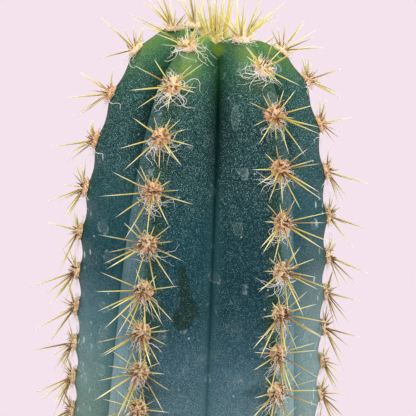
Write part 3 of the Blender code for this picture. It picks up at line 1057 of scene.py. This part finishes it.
def areoleHairs():
    # each hair is walked over the skin from an areole's lower side, downwards and off the surface
    dice = np.random.default_rng(9)
    rows, radii = [], []
    for spot in areoleSpots:
        crest = crestAt(spot["length"])
        waves = hairs["waves"] * (1 - 0.5 * smoothStep(spot["length"], 50 * mm, 75 * mm))
        count = dice.integers(*hairs["onAreole"]) * hairs["onRib"][spot["rib"]]
        for _ in range(round(count * (1 - hairs["youngLess"] * smoothStep(spot["young"], 0.4, 0.5)))):
            heading = math.pi + dice.normal(0, hairs["spread"] + hairs["youngSpread"] * spot["young"])
            step = dice.uniform(*hairs["length"]) / (hairs["points"] - 1)
            leave = heading + dice.normal(0, hairs["rootSpread"])
            across = math.sin(leave) * pad["radius"] * hairs["rootOut"]
            down = -math.cos(leave) * pad["radius"] * hairs["rootOut"]
            lift = hairs["lift"]
            curl = dice.normal(0, waves)
            row = []
            for _ in range(hairs["points"]):
                row.append((spot["turn"] + across / crest, spot["length"] + down, lift))
                curl = 0.75 * curl + dice.normal(0, waves)
                downwards = hairs["drop"] * math.sin(math.pi - heading)
                heading += curl + dice.normal(0, hairs["kinks"]) + downwards
                across += math.sin(heading) * step
                down -= math.cos(heading) * step
                lift = max(hairs["leastLift"], lift + dice.normal(0.12, 0.4) * step)
            rows.append(row)
            radii.append(hairs["radius"] * dice.uniform(0.75, 1.4))
    turns, lengths, lifts = np.moveaxis(np.array(rows), 2, 0)
    spots, _, _, normals = skinFrame(turns, lengths)
    points = spots + normals * lifts[..., None]
    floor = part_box("soil")[1][2] + 0.3 * mm
    return [(row, radius) for row, radius in zip(points, radii) if row[:, 2].min() > floor]


def hairMaterial(name, pale, dark, size=1.5, ages=False):
    material, tree, shader = newMaterial(name)
    place = objectPlace(tree)
    colour = mixColours(ranged(noiseValue(place, size, 2), 0.35, 0.65), dark, pale)
    paint(shader, aged(place, colour, pale) if ages else colour, 0.6, 0.2)
    return material


tanWool = hairMaterial("tan_wool", (255, 252, 228), (240, 204, 146), 0.45, True)
finishPiece(drawStrands("areole_wool", padWool()), tanWool, "tuft_gold")
whiteHair = hairMaterial("white_hair", (255, 255, 252), (250, 244, 230))
finishPiece(drawStrands("white_hairs", areoleHairs()), whiteHair, "tuft_gold")


# The tuft on the tip

tuft = {
    "radius": 2.7 * mm,
    "height": 1.9 * mm,
    "sunk": 0.3 * mm,
    "lumps": 0.35 * mm,
    "lumpCount": 3.1,
    "woolStrands": 300,
    "plumes": 120,  # long fine hairs that stand up between the spines
    "spines": 24,
    "rootRadius": 2.2 * mm,
    "spread": 23,
    "lengths": (9, 18),  # of the spines, in millimetres
}

tuftWool = {"points": 6, "reach": (0.8 * mm, 2.2 * mm), "curl": 0.2 * mm, "radius": 0.07 * mm}
plume = {"points": 7, "reach": (2 * mm, 6.5 * mm), "curl": 0.16 * mm, "radius": 0.05 * mm}


def tuftBase(turn, out):
    # a place on the skin, out from the middle of the tip, down in the furrows where they start
    length = np.interp(out, crestRadii[: stem["tipSteps"]], crestLengths[: stem["tipSteps"]])
    return skinPoint(turn, length)


def makeTuftWool():
    bpy.ops.mesh.primitive_ico_sphere_add(subdivisions=4, radius=1)
    thing = bpy.context.object
    thing.name = "tuft_wool"
    ball = vertexArray(thing)
    high = ball[:, 2]
    out = np.hypot(ball[:, 0], ball[:, 1])
    base = tuftBase(np.arctan2(ball[:, 0], -ball[:, 1]), out * tuft["radius"])
    lumps = np.array([noise.noise(Vector(point * tuft["lumpCount"])) for point in ball]) * tuft["lumps"]
    base[:, 2] += tuft["height"] * np.maximum(high, 0) - tuft["sunk"] * (1 - high) + lumps * (high > 0)
    setVertices(thing, base)
    return thing


def tuftRoot(dice, spread):
    # a random place on the skin under the tuft, how far out it is, and the way out from the middle
    turn = dice.uniform(0, 2 * math.pi)
    out = math.sqrt(dice.random())
    return tuftBase(turn, out * tuft["radius"] * spread), out, outwards(turn) * out


def tuftStrands():
    dice = np.random.default_rng(13)
    strands = []
    for _ in range(tuft["woolStrands"]):
        start, out, aside = tuftRoot(dice, 1.1)
        start = start + upright * ((tuft["height"] - tuft["sunk"]) * math.sqrt(1 - out * out))
        strands.append(curlyStrand(dice, start, unit(aside * 1.2 + upright), tuftWool))
    for _ in range(tuft["plumes"]):
        start, out, aside = tuftRoot(dice, 0.8)
        way = unit(aside * dice.uniform(0, 0.5) + upright)
        strands.append(curlyStrand(dice, start + upright * (tuft["height"] * 0.5), way, plume))
    return strands


def tuftSpines():
    dice = random.Random(4)
    centre = skinPoint(0, 0)
    plans = []
    for _ in range(tuft["spines"]):
        share = math.sqrt(dice.random())
        flat = outwards(dice.uniform(0, 2 * math.pi))
        tilt = math.radians(tuft["spread"] * (0.75 * share + dice.uniform(-0.1, 0.35)))
        plan = {
            "root": centre + flat * share * tuft["rootRadius"] + upright * mm,
            "direction": flat * math.sin(tilt) + upright * math.cos(tilt),
            "bend": flat * dice.uniform(-0.12, 0.1),
            "length": dice.uniform(*tuft["lengths"]) * mm * (1 - 0.2 * share),
            "radius": spine["radius"] * dice.uniform(0.6, 0.9),
            "tone": dice.random() * 0.75,
            "youth": 1.0,
        }
        plans.append(plan)
    return plans


goldWool = hairMaterial("golden_wool", (255, 252, 190), (255, 228, 126), 1.2)
finishPiece(makeTuftWool(), goldWool, "tuft_gold", "tip_tuft")
finishPiece(drawStrands("tuft_strands", tuftStrands()), goldWool, "tuft_gold")
finishPiece(growSpines("tuft_spines", tuftSpines()), spineFinish, "tuft_gold", "tip_tuft")


# The pot: one closed turned profile, walked from the drain hole round to itself

pot = {
    "sides": 128,
    "drain": 7 * mm,
    "foot": 38 * mm,
    "footChamfer": (4 * mm, 0.6 * mm),
    "rim": 56 * mm,
    "height": 98 * mm,
    "band": 22 * mm,
    "bandSlope": 0.4 * mm,
    "step": 3 * mm,
    "wall": 5 * mm,
    "floor": 7 * mm,
    "rounding": 1.5 * mm,
}


def potProfile():
    lean = (pot["rim"] - pot["foot"]) / pot["height"]
    underBand = pot["height"] - pot["band"]
    outer = pot["foot"] + lean * underBand - pot["step"]
    return [
        (pot["foot"] - pot["footChamfer"][0], 0),
        (pot["foot"], pot["footChamfer"][1]),
        (outer, underBand),
        (outer + pot["step"], underBand + pot["bandSlope"]),
        (pot["rim"], pot["height"]),
        (pot["rim"] - pot["step"] - pot["wall"], pot["height"]),
        (pot["foot"] - pot["wall"], pot["floor"]),
        (pot["drain"], pot["floor"]),
        (pot["drain"], 0),
    ]


def makePot():
    bpy.ops.mesh.primitive_circle_add(vertices=pot["sides"], radius=pot["drain"], fill_type="NOTHING")
    thing = bpy.context.object
    thing.name = "clay_pot"
    editAll()
    radius, height = pot["drain"], 0
    for newRadius, newHeight in potProfile():
        grow = newRadius / radius
        bpy.ops.mesh.extrude_edges_move(TRANSFORM_OT_translate={"value": (0, 0, newHeight - height)})
        bpy.ops.transform.resize(value=(grow, grow, 1), center_override=(0, 0, 0))
        radius, height = newRadius, newHeight
    bpy.ops.mesh.select_all(action="SELECT")
    bpy.ops.mesh.remove_doubles(threshold=0.01 * mm)
    faceOutwards()
    bevel = thing.modifiers.new("rounding", "BEVEL")
    bevel.width = pot["rounding"]
    bevel.segments = 4
    bevel.limit_method = "ANGLE"
    bevel.angle_limit = math.radians(30)
    bpy.ops.object.modifier_apply(modifier="rounding")
    return thing


def clayMaterial():
    material, tree, shader = newMaterial("fired_clay")
    place = objectPlace(tree)
    cloud = noiseValue(place, 22, 4, 0.6)
    colour = colourRamp(cloud, [(0.3, (160, 92, 60)), (0.5, (184, 108, 72)), (0.7, (200, 126, 88))])
    grain = noiseValue(place, 0.7, 4, 0.7)
    colour = mixColours(ranged(grain, 0.55, 0.75, 0, 0.5), colour, (222, 160, 124))
    colour = mixColours(ranged(grain, 0.4, 0.25, 0, 0.5), colour, (128, 66, 42))
    # pale lime that the water left, on the foot and in patches
    low = ranged(heightOf(place), 45 * mm, 2 * mm, 0.12, 0.6)
    lime = times(ranged(noiseValue(place, 14, 6, 0.7), 0.48, 0.7), low)
    paint(shader, mixColours(lime, colour, (226, 204, 188)), 0.88)
    shader.inputs["Specular IOR Level"].default_value = 0.25
    rings = noiseValue(objectPlace(tree, (0.02, 0.02, 1)), 1.6, 3, 0.6)
    bumpFrom(shader, maths("ADD", grain, rings), 0.35, 0.25)
    return material


potPiece = makePot()
finishPiece(potPiece, clayMaterial(), "pot_clay", "pot")
selectOnly(potPiece)
bpy.ops.object.shade_smooth_by_angle(angle=math.radians(35))


# The soil: a rough bed between the stem and the pot, and loose grit on it

soil = {
    "top": 86 * mm,
    "mound": 2 * mm,
    "relief": 0.8 * mm,
    "reliefScale": 160,
    "sides": 180,
    "rings": 34,
    "edge": 45.7 * mm,
    "stemGap": 0.05 * mm,
    "deep": 6 * mm,
    "stones": 1500,
    "stoneSizes": [0.5, 0.8, 1.2, 1.8],  # millimetres
    "stoneShares": [0.45, 0.33, 0.17, 0.05],
}


def soilHeight(points):
    away = np.clip(np.hypot(points[:, 0], points[:, 1]) / soil["edge"], 0, 1)
    scaled = [Vector((x, y, 3)) * soil["reliefScale"] for x, y in points[:, :2]]
    relief = np.array([noise.fractal(point, 0.7, 2.1, 5) for point in scaled])
    return soil["top"] + soil["mound"] * (1 - away**2) + soil["relief"] * relief


def makeSoilBed():
    # rings of one tube: out over the top from the stem's edge to the pot, down, and back in below
    bpy.ops.mesh.primitive_circle_add(vertices=soil["sides"], radius=1, fill_type="NOTHING")
    thing = bpy.context.object
    thing.name = "soil_bed"
    editAll()
    for _ in range(soil["rings"] + 1):
        bpy.ops.mesh.extrude_edges_move(TRANSFORM_OT_translate={"value": (0, 0, 1)})
    bpy.ops.object.mode_set(mode="OBJECT")
    points = vertexArray(thing)
    ring = np.round(points[:, 2]).astype(int)
    turn = np.arctan2(points[:, 0], -points[:, 1])
    inner = skinPoint(turn, np.full(len(turn), soilLength))
    innerRadius = np.hypot(inner[:, 0], inner[:, 1]) + soil["stemGap"]
    share = np.clip(ring / (soil["rings"] - 1), 0, 1)
    radius = innerRadius + (soil["edge"] - innerRadius) * share
    radius = np.where(ring == soil["rings"] + 1, innerRadius, radius)
    flat = np.stack([radius * np.sin(turn), -radius * np.cos(turn), np.zeros(len(turn))], axis=1)
    flat[:, 2] = np.where(ring >= soil["rings"], soil["top"] - soil["deep"], soilHeight(flat))
    setVertices(thing, flat)
    selectOnly(thing)
    bpy.ops.object.mode_set(mode="EDIT")
    bpy.ops.mesh.select_non_manifold()
    bpy.ops.mesh.bridge_edge_loops()
    faceOutwards()
    return thing


def makeStones():
    dice = np.random.default_rng(31)
    bpy.ops.mesh.primitive_ico_sphere_add(subdivisions=2, radius=1)
    points, faces = shapeOf(bpy.context.object)
    copies, tones = [], []
    for _ in range(soil["stones"]):
        turn = dice.uniform(0, 2 * math.pi)
        size = dice.choice(soil["stoneSizes"], p=soil["stoneShares"]) * dice.uniform(0.8, 1.2) * mm
        inner = np.hypot(*skinPoint(turn, soilLength)[:2]) + size
        away = math.sqrt(dice.uniform(inner**2, (soil["edge"] - size) ** 2))
        spot = outwards(turn)[None] * away
        spot[0, 2] = soilHeight(spot)[0] + size * 0.15
        bumps = np.array([noise.noise(Vector(point * 1.6 + dice.integers(90))) for point in points])
        shape = points * (1 + 0.45 * bumps)[:, None] * dice.uniform(0.65, 1, 3) * size
        spin = Matrix.Rotation(dice.uniform(0, 6), 3, Vector(dice.normal(0, 1, 3)).normalized())
        copies.append(shape @ np.array(spin) + spot)
        tones.append(dice.random())
    thing = joinCopies("soil_grit", copies, faces)
    addAttribute(thing, "tone", np.repeat(tones, len(points)))
    return thing


soilTones = [(0.3, (34, 26, 20)), (0.5, (72, 56, 44)), (0.7, (116, 94, 74))]
stoneTones = [
    (0.0, (64, 50, 40)),
    (0.35, (104, 84, 66)),
    (0.6, (140, 118, 94)),
    (0.82, (186, 172, 150)),
    (1.0, (222, 214, 200)),
]


def soilMaterial():
    material, tree, shader = newMaterial("gritty_soil")
    crumb = noiseValue(objectPlace(tree), 1.1, 5, 0.7)
    paint(shader, colourRamp(crumb, soilTones), 0.95)
    bumpFrom(shader, crumb, 0.9, 0.6)
    return material


def stoneMaterial():
    material, tree, shader = newMaterial("grit_stones")
    colour = colourRamp(readAttribute(tree, "tone"), stoneTones)
    grain = noiseValue(objectPlace(tree), 0.5, 4, 0.7)
    paint(shader, mixColours(ranged(grain, 0.3, 0.7, 0.5, 0), colour, (50, 40, 32)), 0.85)
    bumpFrom(shader, grain, 0.5, 0.2)
    return material


finishPiece(makeSoilBed(), soilMaterial(), "soil_mix", "soil")
finishPiece(makeStones(), stoneMaterial(), "soil_mix")
